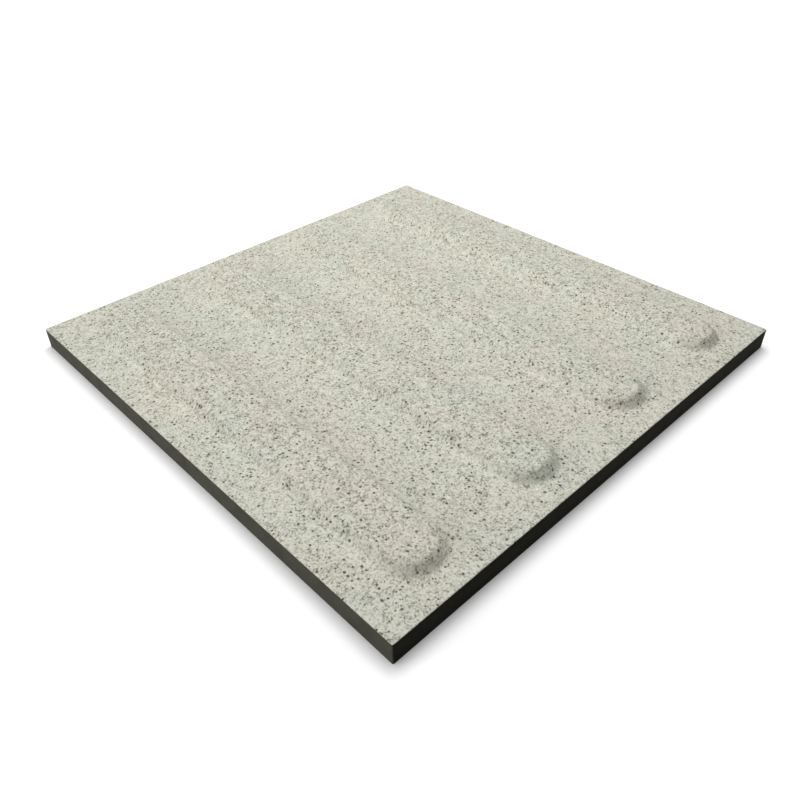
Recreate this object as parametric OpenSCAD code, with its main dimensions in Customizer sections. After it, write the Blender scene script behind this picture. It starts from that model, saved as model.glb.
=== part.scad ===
// Directional tactile paving tile: one pressed and fired ceramic slab. Its face carries straight
// raised guidance bars with round ends, and its back is keyed with a grid of shallow cells.
// Millimetres, +Z up, origin at the middle of the back. The bars run along Y.

/* [Tile] */
// Width of the tile, across the bars
tile_w = 300; // [200:5:600]
// Length of the tile, along the bars
tile_l = 300; // [200:5:600]
// Thickness of the slab, from its back to the face between the bars
slab_h = 12.5; // [8:0.5:30]
// Radius of the four upright corners
corner_r = 0.8; // [0.4:0.1:5]
// Radius of the arris round the face
arris_r = 0.5; // [0.2:0.1:2]

/* [Guidance bars] */
// Distance between the centre lines of neighbouring bars, in a tile and from tile to tile
bar_pitch = 75; // [50:0.5:100]
// Width of a bar at its foot
bar_base_w = 35; // [30:0.5:45]
// Width of a bar at its top
bar_top_w = 25; // [15:0.5:28]
// Height of a bar above the face
bar_h = 5; // [3:0.1:7]
// Bare face from the foot of a bar's end to the edge of the tile
bar_end_gap = 12.5; // [5:0.5:40]
// Radius of the hollow at the foot of a bar
toe_r = 3; // [0.5:0.1:5]
// Radius of the rounding at the top of a bar
crown_r = 4; // [0.5:0.1:6]

/* [Keyed back] */
// Plain rim, from the edge of the tile to the middle of the outermost rib
rim_w = 6; // [4:0.5:20]
// Distance between the middles of neighbouring ribs, at most
rib_pitch = 24; // [15:0.5:40]
// Width of a rib where it meets the mortar
rib_w = 4; // [2:0.5:8]
// Depth of the cells between the ribs
cell_depth = 1.2; // [0.5:0.1:2.5]
// Draft of the cell walls, from upright
cell_draft = 30; // [5:1:45]

/* [Hidden] */

// Facets in a full turn of a bar's end, and steps in each small rounding
$fn = 72;
round_steps = 5;
// How far a bar is rooted in the slab, and how far a cutter runs past what it cuts
bar_root = 1;
past = 1;

// As many bars as whole pitches fit in the width, so that the pattern runs on from tile to tile
bar_count = floor(tile_w / bar_pitch);
bar_l = tile_l - 2 * bar_end_gap;
bar_straight_l = bar_l - bar_base_w;
flank_run = (bar_base_w - bar_top_w) / 2;
flank_angle = atan2(bar_h, flank_run);

// The roundings at the foot and the top of a flank, drawn in alike where the flank is too short for both
least_flat = 0.2;
rounding_room = (norm([flank_run, bar_h]) - least_flat) / tan(flank_angle / 2);
rounding_share = min(1, rounding_room / (toe_r + crown_r));
foot_r = toe_r * rounding_share;
top_r = crown_r * rounding_share;
toe_reach = foot_r * tan(flank_angle / 2);
crown_reach = top_r * tan(flank_angle / 2);

// The grid of cells fills the back inside the rim with equal cells
keyed_w = tile_w - 2 * rim_w;
keyed_l = tile_l - 2 * rim_w;
cells_across = ceil(keyed_w / rib_pitch);
cells_along = ceil(keyed_l / rib_pitch);

// Points of an arc, from one angle to another, in the plane of the section
function arc(centre, radius, from, to) = [
    for (i = [0 : round_steps])
        let (angle = from + (to - from) * i / round_steps)
            centre + radius * [cos(angle), sin(angle)]
];

// A bar's flank as distance from its centre line and height above the face, from foot to top
function flank() = concat(
    arc([bar_base_w / 2 + toe_reach, foot_r], foot_r, 270, 270 - flank_angle),
    arc([bar_top_w / 2 - crown_reach, bar_h - top_r], top_r, 90 - flank_angle, 90)
);

// Half of a bar's section, rooted below the face
function half_section() = concat(
    [[0, -bar_root], [bar_base_w / 2 + toe_reach, -bar_root]],
    flank(),
    [[0, bar_h]]
);

// The slab's outline seen from above, with its four round corners
module plan_outline() {
    x = tile_w / 2 - corner_r;
    y = tile_l / 2 - corner_r;
    polygon(concat(
        arc([x, y], corner_r, 0, 90),
        arc([-x, y], corner_r, 90, 180),
        arc([-x, -y], corner_r, 180, 270),
        arc([x, -y], corner_r, 270, 360)
    ));
}

// The slab's outline seen from one side, with a round arris at both ends of the face
module side_outline(width) {
    x = width / 2 - arris_r;
    z = slab_h - arris_r;
    polygon(concat(
        [[-width / 2, 0], [width / 2, 0]],
        arc([x, z], arris_r, 0, 90),
        arc([-x, z], arris_r, 90, 180)
    ));
}

// The plain slab: what its plan and its two side outlines have in common
module slab() {
    intersection() {
        linear_extrude(slab_h) plan_outline();
        rotate([90, 0, 0]) linear_extrude(tile_l, center = true) side_outline(tile_w);
        rotate([90, 0, 90]) linear_extrude(tile_w, center = true) side_outline(tile_l);
    }
}

// The straight run of a bar
module bar_run() {
    rotate([90, 0, 0])
        linear_extrude(bar_straight_l, center = true)
            union() {
                polygon(half_section());
                mirror([1, 0]) polygon(half_section());
            }
}

// The round end of a bar: its half section turned through half a turn
module bar_end() {
    rotate_extrude(angle = 180) polygon(half_section());
}

// One guidance bar, its foot at the height of the face
module guidance_bar() {
    bar_run();
    translate([0, bar_straight_l / 2, 0]) bar_end();
    translate([0, -bar_straight_l / 2, 0]) rotate([0, 0, 180]) bar_end();
}

// All the bars, in the middle of the face
module guidance_bars() {
    for (i = [0 : bar_count - 1])
        translate([(i - (bar_count - 1) / 2) * bar_pitch, 0, slab_h]) guidance_bar();
}

// One rib as it stands in the recess: narrow at the back's plane and wider at the slab
module rib(length) {
    spread = (cell_depth + past) * tan(cell_draft);
    rotate([90, 0, 0])
        linear_extrude(length + 2 * past, center = true)
            polygon([
                [-rib_w / 2, -2 * past],
                [rib_w / 2, -2 * past],
                [rib_w / 2, 0],
                [rib_w / 2 + spread, cell_depth + past],
                [-rib_w / 2 - spread, cell_depth + past],
                [-rib_w / 2, 0]
            ]);
}

// The hollow cells of the back: one wide recess less the ribs that cross it
module back_cells() {
    difference() {
        translate([-keyed_w / 2, -keyed_l / 2, -past]) cube([keyed_w, keyed_l, cell_depth + past]);
        for (i = [0 : cells_across])
            translate([(i / cells_across - 0.5) * keyed_w, 0, 0]) rib(keyed_l);
        for (j = [0 : cells_along])
            translate([0, (j / cells_along - 0.5) * keyed_l, 0]) rotate([0, 0, 90]) rib(keyed_w);
    }
}

// The whole tile, pressed and fired in one piece
module tactile_tile() {
    color([0.78, 0.78, 0.72])
        difference() {
            union() {
                slab();
                guidance_bars();
            }
            back_cells();
        }
}

tactile_tile();
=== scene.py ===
"""A directional tactile paving tile: a dark fired slab with a pale speckled face and raised guidance bars.

The whole tile is one piece, made by Geometry Nodes from the sizes below, in the place of the CAD solid.
Lengths are in metres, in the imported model's frame: +Z up, the bars along Y, the origin under the middle.
"""

import math

import bpy
from mathutils import Matrix, Vector


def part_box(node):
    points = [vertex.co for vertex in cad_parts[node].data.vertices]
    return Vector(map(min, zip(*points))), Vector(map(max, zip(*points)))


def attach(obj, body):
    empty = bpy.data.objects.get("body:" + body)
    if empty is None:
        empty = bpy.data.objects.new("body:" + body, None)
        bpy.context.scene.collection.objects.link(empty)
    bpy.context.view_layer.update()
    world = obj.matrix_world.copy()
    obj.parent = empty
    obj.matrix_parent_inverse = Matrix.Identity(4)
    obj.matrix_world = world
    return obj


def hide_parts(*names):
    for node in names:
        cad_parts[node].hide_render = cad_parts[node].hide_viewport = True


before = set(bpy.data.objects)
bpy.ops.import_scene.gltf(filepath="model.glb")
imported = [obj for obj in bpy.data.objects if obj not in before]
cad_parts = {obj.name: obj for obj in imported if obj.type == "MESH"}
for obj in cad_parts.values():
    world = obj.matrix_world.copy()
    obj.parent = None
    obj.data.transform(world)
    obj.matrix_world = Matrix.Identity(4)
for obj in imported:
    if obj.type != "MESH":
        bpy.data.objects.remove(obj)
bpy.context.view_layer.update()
low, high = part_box("tactile_tile")

MM = 0.001

# The tile, from the frame's box and the sizes of the pressed shape
TILE_W = high[0] - low[0]
TILE_L = high[1] - low[1]
BAR_H = 5 * MM
SLAB_H = high[2] - low[2] - BAR_H
CORNER_R = 0.8 * MM
ARRIS_R = 0.5 * MM

# The guidance bars
BAR_PITCH = 75 * MM
BAR_BASE_W = 35 * MM
BAR_TOP_W = 25 * MM
BAR_END_GAP = 12.5 * MM
TOE_R = 3 * MM
CROWN_R = 4 * MM
BAR_HALF_RUN = (TILE_L - BAR_BASE_W) / 2 - BAR_END_GAP

# The keyed back
RIM_W = 6 * MM
RIB_PITCH = 24 * MM
RIB_W = 4 * MM
CELL_DEPTH = 1.2 * MM
CELL_DRAFT = math.radians(30)

# Grid lines of the face: so many up to each distance, out from a bar's axis and from the tile's middle
LINES_ACROSS = ((6, 10.8 * MM), (14, 18.8 * MM), (13, 36.7 * MM), (3, BAR_PITCH / 2))
LINES_ALONG = ((80, 118 * MM), (34, 138.9 * MM), (8, 149.2 * MM), (3, TILE_L / 2))
WALL_LINES = 4
ARRIS_LINES = 4

# Points above this share of the starting box's height lie on its top
BOX_TOP = 0.999

# Points closer to one another than this become one
WELD = 0.001 * MM

# What points up by more than the first belongs to the face, and by less than the second to the back
FACE_UP = 0.6
BACK_DOWN = -0.2

# An edge that turns by more than this stays sharp
SHARP_EDGE = math.radians(35)

# The unevenness of the pressed and fired surface: depth and size of its swells and of its grain, and
# the heights between which it sets in, so that the back stays flat
SWELL_DEPTH = 0.06 * MM
SWELL_SIZE = 10 * MM
GRAIN_DEPTH = 0.05 * MM
GRAIN_SIZE = 3 * MM
EVEN_UP_TO = CELL_DEPTH * 1.5
UNEVEN_FROM = CELL_DEPTH * 4

# The bake map: the face fills a square, the four sides stand beside it and the back lies above it
MAP_FACE = 0.86
MAP_GAP = 0.006

# Colours of the slip and of the fired body
SLIP_GREEN = (0.652, 0.664, 0.581, 1)
SLIP_BEIGE = (0.680, 0.656, 0.573, 1)
SLIP_SHADE = (0.132, 0.128, 0.068, 1)
SPECK_BROWN = (0.032, 0.030, 0.004, 1)
# The white of the painted glints: small highlights drawn into the slip's colour
PAINTED_GLINT_WHITE = (0.88, 0.88, 0.82, 1)
BODY_DARK = (0.090, 0.087, 0.070, 1)
BODY_LIGHT = (0.132, 0.128, 0.103, 1)

# The slip covers what lies above this height, nearly down to the foot of the arris
SLIP_FOOT = SLAB_H - ARRIS_R * 0.8

# The slip's clouds, and the noises of its dark grain: the size of each, and for the clouds and the grain
# the noise values between which one colour passes into the other
CLOUD_SIZE = 22 * MM
CLOUD_SPAN = (0.38, 0.62)
CROWDING_SIZE = 8 * MM
BLOTCH_SIZE = 2.3 * MM
DUST_SIZE = 0.95 * MM
SOOT_SPAN = (0.40, 0.66)

# The share of each noise in the grain's soot, the share of the soot and of its square in what it covers,
# and the soot added on the bars' tops between two heights, which makes the tops a little darker
CROWDING_SHARE = 0.06
BLOTCH_SHARE = 0.30
DUST_SHARE = 0.64
SOOT_COVER = 0.25
DEEP_SOOT_COVER = 0.60
TOPS_DARKER_FROM = SLAB_H + BAR_H * 0.6
TOPS_DARKER_FULL = SLAB_H + BAR_H * 0.95
TOPS_DARKER_BY = 0.016

# The pepper of small dark specks: its size and span, what the crowding adds, and how much it covers
PEPPER_SIZE = 1.7 * MM
PEPPER_SPAN = (0.78, 0.88)
PEPPER_CROWDING = 0.25
PEPPER_COVER = 0.7

# The round specks and the white dots of painted glint: the spacing of the cells that hold one each, the
# smallest and the largest radius and the width of the soft edge, then the chance above which a cell keeps
# its own. For the specks, the crowding adds to that chance
SPECKS = (2.6 * MM, 0.45 * MM, 0.88 * MM, 0.25 * MM)
SPECK_CHANCE = 0.95
SPECK_COVER = 0.85
PAINTED_GLINTS = (8 * MM, 0.4 * MM, 0.6 * MM, 0.2 * MM)
PAINTED_GLINT_CHANCE = 0.9

# How the outlines of specks and painted glints waver: the size of the waves and how far they reach
WAVER_SIZE = 0.9 * MM
WAVER_REACH = 0.7 * MM

# The dust's values between which the roughness of a finish rises from its first value to its second
GLOSS_SPAN = (0.3, 0.7)

# The slip's gloss and its relief, in which dust and blotches stand up and specks lie deeper
SLIP_ROUGHNESS = (0.6, 0.7)
SLIP_SPECULAR = 0.2
SLIP_RELIEF = 0.12 * MM
BLOTCH_RELIEF = 0.7
SPECK_RELIEF = 0.4

# The fired body: its clouds, its paler grains, its gloss and its relief
BODY_CLOUD_SIZE = 8 * MM
BODY_CLOUD_SPAN = (0.3, 0.7)
BODY_DUST_SIZE = 0.8 * MM
PALE_GRAIN_SPAN = (0.6, 0.8)
PALE_GRAIN_COVER = 0.5
BODY_ROUGHNESS = (0.7, 0.85)
BODY_SPECULAR = 0.05
BODY_RELIEF = 0.1 * MM

# The camera: where it stands, where it looks, its roll, its lens and the nearest that it sees
CAMERA_PLACE = (-0.2577, -0.2700, 0.2558)
CAMERA_AZIMUTH = math.radians(46.63)
CAMERA_ELEVATION = math.radians(38.47)
CAMERA_ROLL = math.radians(-0.87)
LENS_MM = 34.0
CLIP_START = 0.01

# The colour of the floor's own light and of the room
WHITE = (1, 1, 1, 1)

# The floor: half its width, and its colour to the eye and to the light that falls on the tile
FLOOR_REACH = 8.0
FLOOR_WHITE = (0.68, 0.68, 0.68, 1)
FLOOR_DARK = (0.02, 0.02, 0.02, 1)

# The floor's own light to the eye near the tile, the distances from the middle between which that light
# rises to a full white, and how far from the tile a painted shadow, from occlusion, dims that light
FLOOR_GLOW = 0.53
GLOW_NEAR = 0.25
GLOW_FULL = 0.6
PAINTED_SHADOW_REACH = 60 * MM

# Each lamp's name, place, width and power, and the strength of the room's light on the tile
LAMPS = (
    ("overhead", (0.04, 0.12, 0.8), 0.5, 5.15),
    ("overhead_right", (0.35, 0.15, 0.8), 0.5, 2.2),
    ("back_left", (-1.68, 0.97, 0.484), 1.0, 15.0),
    ("left", (-1.94, 0.0, 0.484), 1.0, 6.0),
)
ROOM_LIGHT = 0.01


class Nodes:
    """Adds nodes to a tree. All but add and give return output sockets, so that calls nest."""

    def __init__(self, tree):
        self.tree = tree

    def add(self, kind, inputs=None, **settings):
        """A node with its settings, and its inputs given by name or number as sockets or plain values."""
        node = self.tree.nodes.new(kind)
        for name, value in settings.items():
            setattr(node, name, value)
        for name, value in (inputs or {}).items():
            self.give(node.inputs[name], value)
        return node

    def give(self, socket, value):
        """Links an output socket to an input, or sets the input's plain value."""
        if isinstance(value, bpy.types.NodeSocket):
            self.tree.links.new(value, socket)
        else:
            socket.default_value = value

    def math(self, operation, *values):
        return self.add("ShaderNodeMath", dict(enumerate(values)), operation=operation).outputs[0]

    def plus(self, first, second):
        return self.math("ADD", first, second)

    def less(self, first, second):
        return self.math("SUBTRACT", first, second)

    def times(self, first, second):
        return self.math("MULTIPLY", first, second)

    def over(self, first, second):
        return self.math("DIVIDE", first, second)

    def size_of(self, value):
        return self.math("ABSOLUTE", value)

    def at_least(self, value, least):
        return self.math("MAXIMUM", value, least)

    def at_most(self, value, most):
        return self.math("MINIMUM", value, most)

    def above(self, value, limit):
        return self.math("GREATER_THAN", value, limit)

    def hypotenuse(self, first, second):
        return self.math("SQRT", self.plus(self.times(first, first), self.times(second, second)))

    def ramp(self, value, start, end, first=0.0, last=1.0):
        """value carried from start..end to first..last, and held at the ends."""
        inputs = {"Value": value, "From Min": start, "From Max": end, "To Min": first, "To Max": last}
        return self.add("ShaderNodeMapRange", inputs, clamp=True).outputs[0]

    def split(self, vector):
        return self.add("ShaderNodeSeparateXYZ", {0: vector}).outputs[:]

    def join(self, x, y, z):
        return self.add("ShaderNodeCombineXYZ", {0: x, 1: y, 2: z}).outputs[0]

    def vector_math(self, operation, inputs):
        return self.add("ShaderNodeVectorMath", inputs, operation=operation).outputs[0]

    def noise(self, place, size, detail=2.0, roughness=0.5, turn=0.0):
        """Noise from 0 to 1 in lumps of about that size; turn moves to another part of the pattern."""
        inputs = {"Vector": place, "W": turn, "Scale": 1 / size, "Detail": detail, "Roughness": roughness}
        return self.add("ShaderNodeTexNoise", inputs, noise_dimensions="4D").outputs[0]


class FormNodes(Nodes):
    """The nodes of a Geometry Nodes tree with named inputs."""

    def __init__(self, name, inputs):
        super().__init__(bpy.data.node_groups.new(name, "GeometryNodeTree"))
        self.values = {}
        for label, value in inputs.items():
            socket = self.tree.interface.new_socket(label, in_out="INPUT", socket_type="NodeSocketFloat")
            self.values[socket.identifier] = value
        self.tree.interface.new_socket("Mesh", in_out="OUTPUT", socket_type="NodeSocketGeometry")
        self.inputs = self.tree.nodes.new("NodeGroupInput").outputs

    def shape(self, kind, inputs=None, **settings):
        """A node's first output, where that is a shape."""
        return self.add(kind, inputs, **settings).outputs[0]

    def below(self, value, limit):
        inputs = {0: value, 1: limit}
        return self.add("FunctionNodeCompare", inputs, data_type="FLOAT", operation="LESS_THAN").outputs[0]

    def choose(self, when, off, on, kind="FLOAT"):
        return self.add("GeometryNodeSwitch", {0: when, 1: off, 2: on}, input_type=kind).outputs[0]

    def position(self):
        return self.add("GeometryNodeInputPosition").outputs[0]

    def normal(self):
        return self.add("GeometryNodeInputNormal").outputs[0]

    def move(self, shape, place, where=True):
        inputs = {"Geometry": shape, "Selection": where, "Position": place}
        return self.shape("GeometryNodeSetPosition", inputs)

    def union(self, *shapes):
        join = self.add("GeometryNodeJoinGeometry")
        for shape in shapes:
            self.tree.links.new(shape, join.inputs[0])
        return join.outputs[0]

    def weld(self, shape):
        return self.shape("GeometryNodeMergeByDistance", {"Geometry": shape, "Distance": WELD})

    def stations(self, share, lines):
        """The distance at a share of the grid lines, which lie as a list of (count, distance) says."""
        total = sum(count for count, _ in lines)
        reach = 0.0
        passed = 0
        start = 0.0
        for count, distance in lines:
            step = self.ramp(share, passed / total, (passed + count) / total, 0.0, distance - start)
            reach = self.plus(step, reach)
            passed += count
            start = distance
        return reach

    def finish(self, shape, name):
        """An object with the plain mesh that the tree makes of its inputs' values, ending in that shape."""
        self.tree.links.new(shape, self.tree.nodes.new("NodeGroupOutput").inputs[0])
        piece = bpy.data.objects.new(name, bpy.data.meshes.new(name))
        bpy.context.scene.collection.objects.link(piece)
        modifier = piece.modifiers.new("form", "NODES")
        modifier.node_group = self.tree
        for identifier, value in self.values.items():
            modifier[identifier] = value
        made = piece.evaluated_get(bpy.context.evaluated_depsgraph_get())
        mesh = bpy.data.meshes.new_from_object(made)
        piece.modifiers.remove(modifier)
        piece.data = mesh
        return piece


def bar_height(form, distance):
    """Height above the face at a distance from a bar's axis: flat top, crown, flank and hollow toe."""
    put = form.inputs
    half_base = form.over(put["Bar Base Width"], 2.0)
    half_top = form.over(put["Bar Top Width"], 2.0)
    run = form.less(half_base, half_top)
    angle = form.math("ARCTAN2", put["Bar Height"], run)
    half_tangent = form.math("TANGENT", form.over(angle, 2.0))
    sine = form.math("SINE", angle)
    crown_start = form.less(half_top, form.times(put["Crown Radius"], half_tangent))
    crown_end = form.plus(crown_start, form.times(put["Crown Radius"], sine))
    toe_end = form.plus(half_base, form.times(put["Toe Radius"], half_tangent))
    toe_start = form.less(toe_end, form.times(put["Toe Radius"], sine))

    def fall(radius, reach):
        """How far a round has fallen below its crest, at a distance from it."""
        reach = form.at_least(reach, 0.0)
        inside = form.less(form.times(radius, radius), form.times(reach, reach))
        return form.less(radius, form.math("SQRT", form.at_least(inside, 0.0)))

    crown = form.less(put["Bar Height"], fall(put["Crown Radius"], form.less(distance, crown_start)))
    toe = fall(put["Toe Radius"], form.less(toe_end, distance))
    flank = form.times(form.over(form.less(half_base, distance), run), put["Bar Height"])
    lower = form.choose(form.below(distance, toe_start), toe, flank)
    return form.choose(form.below(distance, crown_end), lower, crown)


def pressed_shell(form):
    """The face with its bars, the arris and the sides: a box whose grid is drawn into that shape."""
    put = form.inputs
    upright = WALL_LINES + ARRIS_LINES
    counts = {
        "Vertices X": round(TILE_W / BAR_PITCH) * 2 * sum(count for count, _ in LINES_ACROSS) + 1,
        "Vertices Y": 2 * sum(count for count, _ in LINES_ALONG) + 1,
        "Vertices Z": upright + 1,
    }
    box = form.shape("GeometryNodeMeshCube", {"Size": (1.0, 1.0, 1.0), **counts})
    bottom = form.below(form.split(form.normal())[2], BACK_DOWN)
    box = form.shape("GeometryNodeDeleteGeometry", {0: box, 1: bottom}, domain="FACE")
    x, y, z = form.split(form.position())

    # Across: which bar's strip of the tile this is, and how far it lies from that bar's axis
    bars = form.math("ROUND", form.over(put["Tile Width"], put["Bar Pitch"]))
    strips = form.times(form.plus(x, 0.5), bars)
    strip = form.at_most(form.math("FLOOR", strips), form.less(bars, 1.0))
    side = form.less(form.less(strips, strip), 0.5)
    reach = form.stations(form.times(form.size_of(side), 2.0), LINES_ACROSS)
    axis = form.times(form.less(form.plus(strip, 0.5), form.over(bars, 2.0)), put["Bar Pitch"])
    flat_x = form.plus(axis, form.times(form.math("SIGN", side), reach))

    # Along: how far it lies from the tile's middle, and past the straight run of the bars
    out = form.stations(form.times(form.size_of(y), 2.0), LINES_ALONG)
    flat_y = form.times(form.math("SIGN", y), out)
    past_run = form.at_least(form.less(out, put["Bar Half Run"]), 0.0)

    # Up: the side wall, then the arris, which draws in the edge of the face
    share = form.plus(z, 0.5)
    wall_share = WALL_LINES / upright
    turn = form.ramp(share, wall_share, 1.0, 0.0, math.pi / 2)
    wall_height = form.less(put["Slab Height"], put["Arris Radius"])
    wall = form.times(form.ramp(share, 0.0, wall_share), wall_height)
    level = form.plus(wall, form.times(form.math("SINE", turn), put["Arris Radius"]))
    inset = form.times(form.less(1.0, form.math("COSINE", turn)), put["Arris Radius"])

    def past_corner(value, size):
        """The part of a coordinate up to the corner's square, and the part inside that square."""
        half = form.over(put[size], 2.0)
        held = form.at_most(form.size_of(value), form.less(half, inset))
        start = form.less(half, put["Corner Radius"])
        return form.at_most(held, start), form.at_least(form.less(held, start), 0.0)

    # The corners in plan: their squares are drawn into quarter circles
    inner_x, outer_x = past_corner(flat_x, "Tile Width")
    inner_y, outer_y = past_corner(flat_y, "Tile Length")
    farther = form.at_least(outer_x, outer_y)
    squeeze = form.over(farther, form.at_least(form.hypotenuse(outer_x, outer_y), WELD))
    new_x = form.times(form.math("SIGN", flat_x), form.plus(inner_x, form.times(outer_x, squeeze)))
    new_y = form.times(form.math("SIGN", flat_y), form.plus(inner_y, form.times(outer_y, squeeze)))

    on_face = form.above(share, BOX_TOP)
    rise = form.times(bar_height(form, form.hypotenuse(reach, past_run)), on_face)
    return form.move(box, form.join(new_x, new_y, form.plus(level, rise)))


def keyed_back(form):
    """The back inside its rim: one drafted cell with half a rib round it, repeated over the grid."""
    put = form.inputs
    rims = form.times(put["Rim Width"], 2.0)
    keyed = [form.less(put[size], rims) for size in ("Tile Width", "Tile Length")]
    counts = [form.math("ROUND", form.over(size, put["Rib Pitch"])) for size in keyed]
    pitches = [form.over(size, count) for size, count in zip(keyed, counts)]
    mouths = [form.less(pitch, put["Rib Width"]) for pitch in pitches]
    draft = form.times(form.times(put["Cell Depth"], form.math("TANGENT", put["Cell Draft"])), 2.0)
    floors = [form.less(mouth, draft) for mouth in mouths]

    def step_in(shape, inner, widths, rise):
        """Raises the inner face and narrows it from the first pair of widths to the second."""
        inputs = {"Mesh": shape, "Selection": inner, "Offset": (0.0, 0.0, 1.0), "Offset Scale": rise}
        raised = form.add("GeometryNodeExtrudeMesh", inputs)
        x, y, z = form.split(form.position())
        narrow = [form.over(new, old) for old, new in zip(*widths)]
        place = form.join(form.times(x, narrow[0]), form.times(y, narrow[1]), z)
        inner = raised.outputs["Top"]
        return form.move(raised.outputs["Mesh"], place, inner), inner

    cell = form.shape("GeometryNodeMeshGrid", {0: pitches[0], 1: pitches[1], 2: 2, 3: 2})
    cell, inner = step_in(cell, True, (pitches, mouths), 0.0)
    cell, _ = step_in(cell, inner, (mouths, floors), put["Cell Depth"])
    spans = [form.less(size, pitch) for size, pitch in zip(keyed, pitches)]
    points = form.shape("GeometryNodeMeshGrid", {0: spans[0], 1: spans[1], 2: counts[0], 3: counts[1]})
    cells = form.add("GeometryNodeInstanceOnPoints", {"Points": points, "Instance": cell}).outputs[0]
    cells = form.weld(form.shape("GeometryNodeRealizeInstances", {0: cells}))
    return form.shape("GeometryNodeFlipFaces", {0: cells})


def rim(form, *sheets):
    """The flat ring that closes the back, between the open edges of the shell and of the cells."""
    neighbours = form.add("GeometryNodeInputMeshEdgeNeighbors").outputs[0]
    open_edge = form.below(neighbours, 2.0)
    edges = form.shape("GeometryNodeMeshToCurve", {0: form.union(*sheets), 1: open_edge})
    ring = form.shape("GeometryNodeFillCurve", {0: edges}, mode="TRIANGLES")
    return form.shape("GeometryNodeFlipFaces", {0: ring})


def uneven(form, shape):
    """The shape pressed in a little by swells and grain on its face and sides, with its back left flat."""
    place = form.position()
    swell = form.times(form.noise(place, SWELL_SIZE), form.inputs["Swell Depth"])
    grain = form.times(form.noise(place, GRAIN_SIZE, turn=3.0), form.inputs["Grain Depth"])
    clear_of_back = form.ramp(form.split(place)[2], EVEN_UP_TO, UNEVEN_FROM, 0.0, -1.0)
    depth = form.times(form.plus(swell, grain), clear_of_back)
    inward = form.vector_math("SCALE", {0: form.normal(), "Scale": depth})
    return form.shape("GeometryNodeSetPosition", {"Geometry": shape, "Offset": inward})


def bake_map(form, shape):
    """The shape with its own map for baking, which shares the square out by what each surface needs."""
    x, y, z = form.split(form.position())
    whole_face = {"data_type": "FLOAT_VECTOR", "domain": "FACE"}
    face_normal = form.add("GeometryNodeFieldOnDomain", {0: form.normal()}, **whole_face).outputs[0]
    way_x, way_y, way_z = form.split(face_normal)
    across = form.plus(form.over(x, TILE_W), 0.5)
    along = form.plus(form.over(y, TILE_L), 0.5)
    beside = (1.0 - MAP_FACE - 6 * MAP_GAP) / 4
    face = MAP_FACE - MAP_GAP

    def placed(u, v, width, height, left, bottom):
        """Shares u and v laid out over a rectangle of the map."""
        map_x = form.plus(form.times(u, width), left)
        map_y = form.plus(form.times(v, height), bottom)
        return form.join(map_x, map_y, 0.0)

    up_the_side = form.over(z, SLAB_H)
    strips = [
        placed(up_the_side, run, beside, face, MAP_FACE + MAP_GAP + side * (beside + MAP_GAP), MAP_GAP)
        for side, run in enumerate((along, along, across, across))
    ]
    on_x = form.choose(form.above(way_x, 0.0), strips[0], strips[1], "VECTOR")
    on_y = form.choose(form.above(way_y, 0.0), strips[2], strips[3], "VECTOR")
    mostly_x = form.above(form.size_of(way_x), form.size_of(way_y))
    on_side = form.choose(mostly_x, on_y, on_x, "VECTOR")
    on_face = placed(across, along, face, face, MAP_GAP, MAP_GAP)
    back_height = 1.0 - MAP_FACE - 2 * MAP_GAP
    on_back = placed(across, along, 1.0 - 2 * MAP_GAP, back_height, MAP_GAP, MAP_FACE + MAP_GAP)
    spot = form.choose(form.above(way_z, FACE_UP), on_side, on_face, "VECTOR")
    spot = form.choose(form.below(way_z, BACK_DOWN), spot, on_back, "VECTOR")
    inputs = {"Geometry": shape, "Name": "OFBake", "Value": spot}
    return form.shape("GeometryNodeStoreNamedAttribute", inputs, data_type="FLOAT2", domain="CORNER")


def tile_piece(face_finish, body_finish):
    """The whole tile as one closed mesh, with the pale finish on its face and the dark one elsewhere."""
    sizes = {
        "Tile Width": TILE_W, "Tile Length": TILE_L, "Slab Height": SLAB_H,
        "Corner Radius": CORNER_R, "Arris Radius": ARRIS_R,
        "Bar Pitch": BAR_PITCH, "Bar Base Width": BAR_BASE_W, "Bar Top Width": BAR_TOP_W,
        "Bar Height": BAR_H, "Bar Half Run": BAR_HALF_RUN, "Toe Radius": TOE_R, "Crown Radius": CROWN_R,
        "Rim Width": RIM_W, "Rib Pitch": RIB_PITCH, "Rib Width": RIB_W,
        "Cell Depth": CELL_DEPTH, "Cell Draft": CELL_DRAFT,
        "Swell Depth": SWELL_DEPTH, "Grain Depth": GRAIN_DEPTH,
    }
    form = FormNodes("pressed tile", sizes)
    shell = pressed_shell(form)
    cells = keyed_back(form)
    tile = form.weld(form.union(shell, cells, rim(form, shell, cells)))
    tile = uneven(form, tile)
    tile = form.shape("GeometryNodeSetShadeSmooth", {0: tile, 1: True, 2: True})
    edge_angle = form.add("GeometryNodeInputMeshEdgeAngle").outputs[0]
    sharp = form.above(edge_angle, SHARP_EDGE)
    tile = form.shape("GeometryNodeSetShadeSmooth", {0: tile, 1: sharp, 2: False}, domain="EDGE")
    tile = bake_map(form, tile)
    tile = form.shape("GeometryNodeRealizeInstances", {0: tile})
    tile = form.shape("GeometryNodeSetMaterial", {0: tile, 2: body_finish})
    slip = form.above(form.split(form.position())[2], SLIP_FOOT)
    tile = form.shape("GeometryNodeSetMaterial", {0: tile, 1: slip, 2: face_finish})
    return form.finish(tile, "fired_tile")


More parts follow.
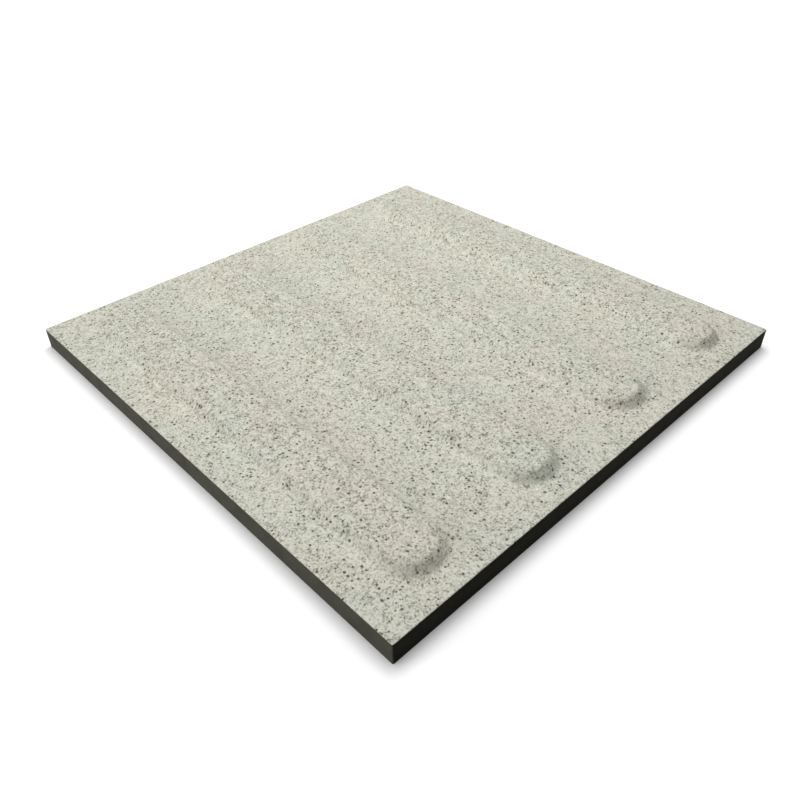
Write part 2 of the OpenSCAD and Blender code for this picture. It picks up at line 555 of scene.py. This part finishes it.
class FinishNodes(Nodes):
    """The nodes of a finish, around its Principled shader."""

    def __init__(self, name):
        self.material = bpy.data.materials.new(name)
        self.material.use_nodes = True
        super().__init__(self.material.node_tree)
        self.shader = self.tree.nodes["Principled BSDF"].inputs

    def place(self):
        return self.add("ShaderNodeTexCoord").outputs["Object"]

    def blend(self, share, first, second):
        inputs = {0: share, 6: first, 7: second}
        return self.add("ShaderNodeMix", inputs, data_type="RGBA").outputs[2]

    def roughened(self, place, size, amount):
        """A place moved about by noise, so that what is drawn there gets an uneven outline."""
        noise = self.add("ShaderNodeTexNoise", {"Vector": place, "Scale": 1 / size, "Detail": 1.0})
        centred = self.vector_math("SUBTRACT", {0: noise.outputs[1], 1: (0.5, 0.5, 0.5)})
        moved = self.vector_math("SCALE", {0: centred, "Scale": amount})
        return self.vector_math("ADD", {0: place, 1: moved})

    def grains(self, place, spacing, smallest, largest, soft):
        """Round grains, one at most to each cell, from 0 outside to 1 inside, and each cell's chance."""
        cells = self.add("ShaderNodeTexVoronoi", {"Vector": place, "Scale": 1 / spacing})
        chance, tone, _ = self.split(cells.outputs["Color"])
        distance = self.times(cells.outputs["Distance"], spacing)
        radius = self.ramp(tone, 0.0, 1.0, smallest, largest)
        depth = self.less(radius, distance)
        return self.ramp(depth, 0.0, soft), chance

    def bump(self, height, depth):
        inputs = {"Strength": 1.0, "Distance": depth, "Height": height}
        self.give(self.shader["Normal"], self.add("ShaderNodeBump", inputs).outputs[0])


def speckled_slip():
    """The pale face: faint clouds of green and beige, a fine dark grain, dark specks and a few painted
    glints.

    The bars' tops get a little more of the dark grain, so that they come out a little darker than the face.
    """
    made = FinishNodes("speckled_slip")
    place = made.place()
    edge = made.roughened(place, WAVER_SIZE, WAVER_REACH)

    cloud = made.noise(place, CLOUD_SIZE, detail=3.0, turn=1.0)
    colour = made.blend(made.ramp(cloud, *CLOUD_SPAN), SLIP_GREEN, SLIP_BEIGE)

    crowding = made.noise(place, CROWDING_SIZE, detail=2.0, turn=5.0)
    blotch = made.noise(place, BLOTCH_SIZE, detail=1.0, turn=7.0)
    dust = made.noise(place, DUST_SIZE, detail=1.0, turn=9.0)
    fine_soot = made.plus(made.times(blotch, BLOTCH_SHARE), made.times(dust, DUST_SHARE))
    soot = made.plus(made.times(crowding, CROWDING_SHARE), fine_soot)
    # More soot above a height, so that the bars' tops come out a little darker than the face
    darker_tops = made.ramp(made.split(place)[2], TOPS_DARKER_FROM, TOPS_DARKER_FULL, 0.0, TOPS_DARKER_BY)
    dusk = made.ramp(made.plus(soot, darker_tops), *SOOT_SPAN)
    cover = made.times(dusk, made.plus(made.times(dusk, DEEP_SOOT_COVER), SOOT_COVER))
    colour = made.blend(cover, colour, SLIP_SHADE)

    pepper = made.noise(place, PEPPER_SIZE, detail=1.0, turn=13.0)
    pepper = made.plus(pepper, made.times(crowding, PEPPER_CROWDING))
    colour = made.blend(made.ramp(pepper, *PEPPER_SPAN, 0.0, PEPPER_COVER), colour, SPECK_BROWN)

    speck, speck_chance = made.grains(edge, *SPECKS)
    kept = made.above(made.plus(speck_chance, crowding), SPECK_CHANCE)
    colour = made.blend(made.times(made.times(speck, kept), SPECK_COVER), colour, SPECK_BROWN)

    # Painted glints: a few small white dots drawn into the colour in place of highlights
    glint_dot, glint_chance = made.grains(edge, *PAINTED_GLINTS)
    kept = made.above(glint_chance, PAINTED_GLINT_CHANCE)
    colour = made.blend(made.times(glint_dot, kept), colour, PAINTED_GLINT_WHITE)

    made.give(made.shader["Base Color"], colour)
    made.give(made.shader["Roughness"], made.ramp(dust, *GLOSS_SPAN, *SLIP_ROUGHNESS))
    made.give(made.shader["Specular IOR Level"], SLIP_SPECULAR)
    raised = made.plus(dust, made.times(blotch, BLOTCH_RELIEF))
    made.bump(made.less(raised, made.times(speck, SPECK_RELIEF)), SLIP_RELIEF)
    return made.material


def fired_body():
    """The dark body of the sides and back: a fine grain with a few paler grains pressed into it."""
    made = FinishNodes("fired_body")
    place = made.place()
    cloud = made.noise(place, BODY_CLOUD_SIZE, detail=4.0, roughness=0.6)
    colour = made.blend(made.ramp(cloud, *BODY_CLOUD_SPAN), BODY_DARK, BODY_LIGHT)
    dust = made.noise(place, BODY_DUST_SIZE, detail=2.0, turn=4.0)
    colour = made.blend(made.ramp(dust, *PALE_GRAIN_SPAN, 0.0, PALE_GRAIN_COVER), colour, BODY_LIGHT)
    made.give(made.shader["Base Color"], colour)
    made.give(made.shader["Roughness"], made.ramp(dust, *GLOSS_SPAN, *BODY_ROUGHNESS))
    made.give(made.shader["Specular IOR Level"], BODY_SPECULAR)
    made.bump(dust, BODY_RELIEF)
    return made.material


def seen(made):
    """1 for what the eye sees, straight or in a reflection, and 0 for the light that falls on the tile."""
    rays = made.add("ShaderNodeLightPath").outputs
    mirrored = made.plus(rays["Is Glossy Ray"], rays["Is Transmission Ray"])
    return made.at_most(made.plus(rays["Is Camera Ray"], mirrored), 1.0)


def white_floor():
    """White to the eye and in reflections, and dark to diffuse light, with real and painted shadow round
    the tile.
    """
    made = FinishNodes("white_floor")
    x, y, _ = made.split(made.place())
    to_the_eye = seen(made)
    # Painted shadow: the floor's glow is weaker near the tile and dimmed by occlusion next to it
    glow_weaker_near_tile = made.ramp(made.hypotenuse(x, y), GLOW_NEAR, GLOW_FULL, FLOOR_GLOW, 1.0)
    painted_contact_shadow = made.add("ShaderNodeAmbientOcclusion", {"Distance": PAINTED_SHADOW_REACH}, samples=8)
    glow_with_painted_shadow = made.times(to_the_eye, made.times(painted_contact_shadow.outputs["AO"], glow_weaker_near_tile))
    made.give(made.shader["Base Color"], made.blend(to_the_eye, FLOOR_DARK, FLOOR_WHITE))
    made.give(made.shader["Roughness"], 1.0)
    made.give(made.shader["Specular IOR Level"], 0.0)
    made.give(made.shader["Emission Color"], WHITE)
    made.give(made.shader["Emission Strength"], glow_with_painted_shadow)
    return made.material


def studio():
    """A plain white floor, two soft lamps overhead, one at the back left, one at the left, and the room.

    The room is white to the eye and in reflections, and gives the tile only a faint even light.
    """
    floor = bpy.data.objects.new("floor", bpy.data.meshes.new("floor"))
    signs = ((-1, -1), (1, -1), (1, 1), (-1, 1))
    corners = [(x * FLOOR_REACH, y * FLOOR_REACH, low[2]) for x, y in signs]
    floor.data.from_pydata(corners, [], [(0, 1, 2, 3)])
    floor.data.materials.append(white_floor())
    bpy.context.scene.collection.objects.link(floor)

    for name, place, width, power in LAMPS:
        lamp = bpy.data.lights.new(name, "AREA")
        lamp.size = width
        lamp.energy = power
        holder = bpy.data.objects.new(name, lamp)
        holder.location = place
        holder.rotation_euler = Vector(place).to_track_quat("Z", "Y").to_euler()
        bpy.context.scene.collection.objects.link(holder)

    world = bpy.data.worlds.new("studio")
    bpy.context.scene.world = world
    world.use_nodes = True
    room = Nodes(world.node_tree)
    backdrop = world.node_tree.nodes["Background"].inputs
    room.give(backdrop["Color"], WHITE)
    room.give(backdrop["Strength"], room.ramp(seen(room), 0.0, 1.0, ROOM_LIGHT, 1.0))


def camera():
    """The camera, from where it stands towards where it looks, rolled about that line."""
    data = bpy.data.cameras.new("camera")
    data.lens = LENS_MM
    data.clip_start = CLIP_START
    holder = bpy.data.objects.new("camera", data)
    flat = math.cos(CAMERA_ELEVATION)
    look_x = flat * math.cos(CAMERA_AZIMUTH)
    look_y = flat * math.sin(CAMERA_AZIMUTH)
    look = Vector((look_x, look_y, -math.sin(CAMERA_ELEVATION)))
    upright = look.to_track_quat("-Z", "Y").to_matrix().to_4x4()
    roll = Matrix.Rotation(CAMERA_ROLL, 4, "Z")
    holder.matrix_world = Matrix.Translation(CAMERA_PLACE) @ upright @ roll
    bpy.context.scene.collection.objects.link(holder)
    bpy.context.scene.camera = holder


tile = tile_piece(speckled_slip(), fired_body())
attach(tile, "root")
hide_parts("tactile_tile")
studio()
camera()
bpy.context.scene.view_settings.view_transform = "Standard"
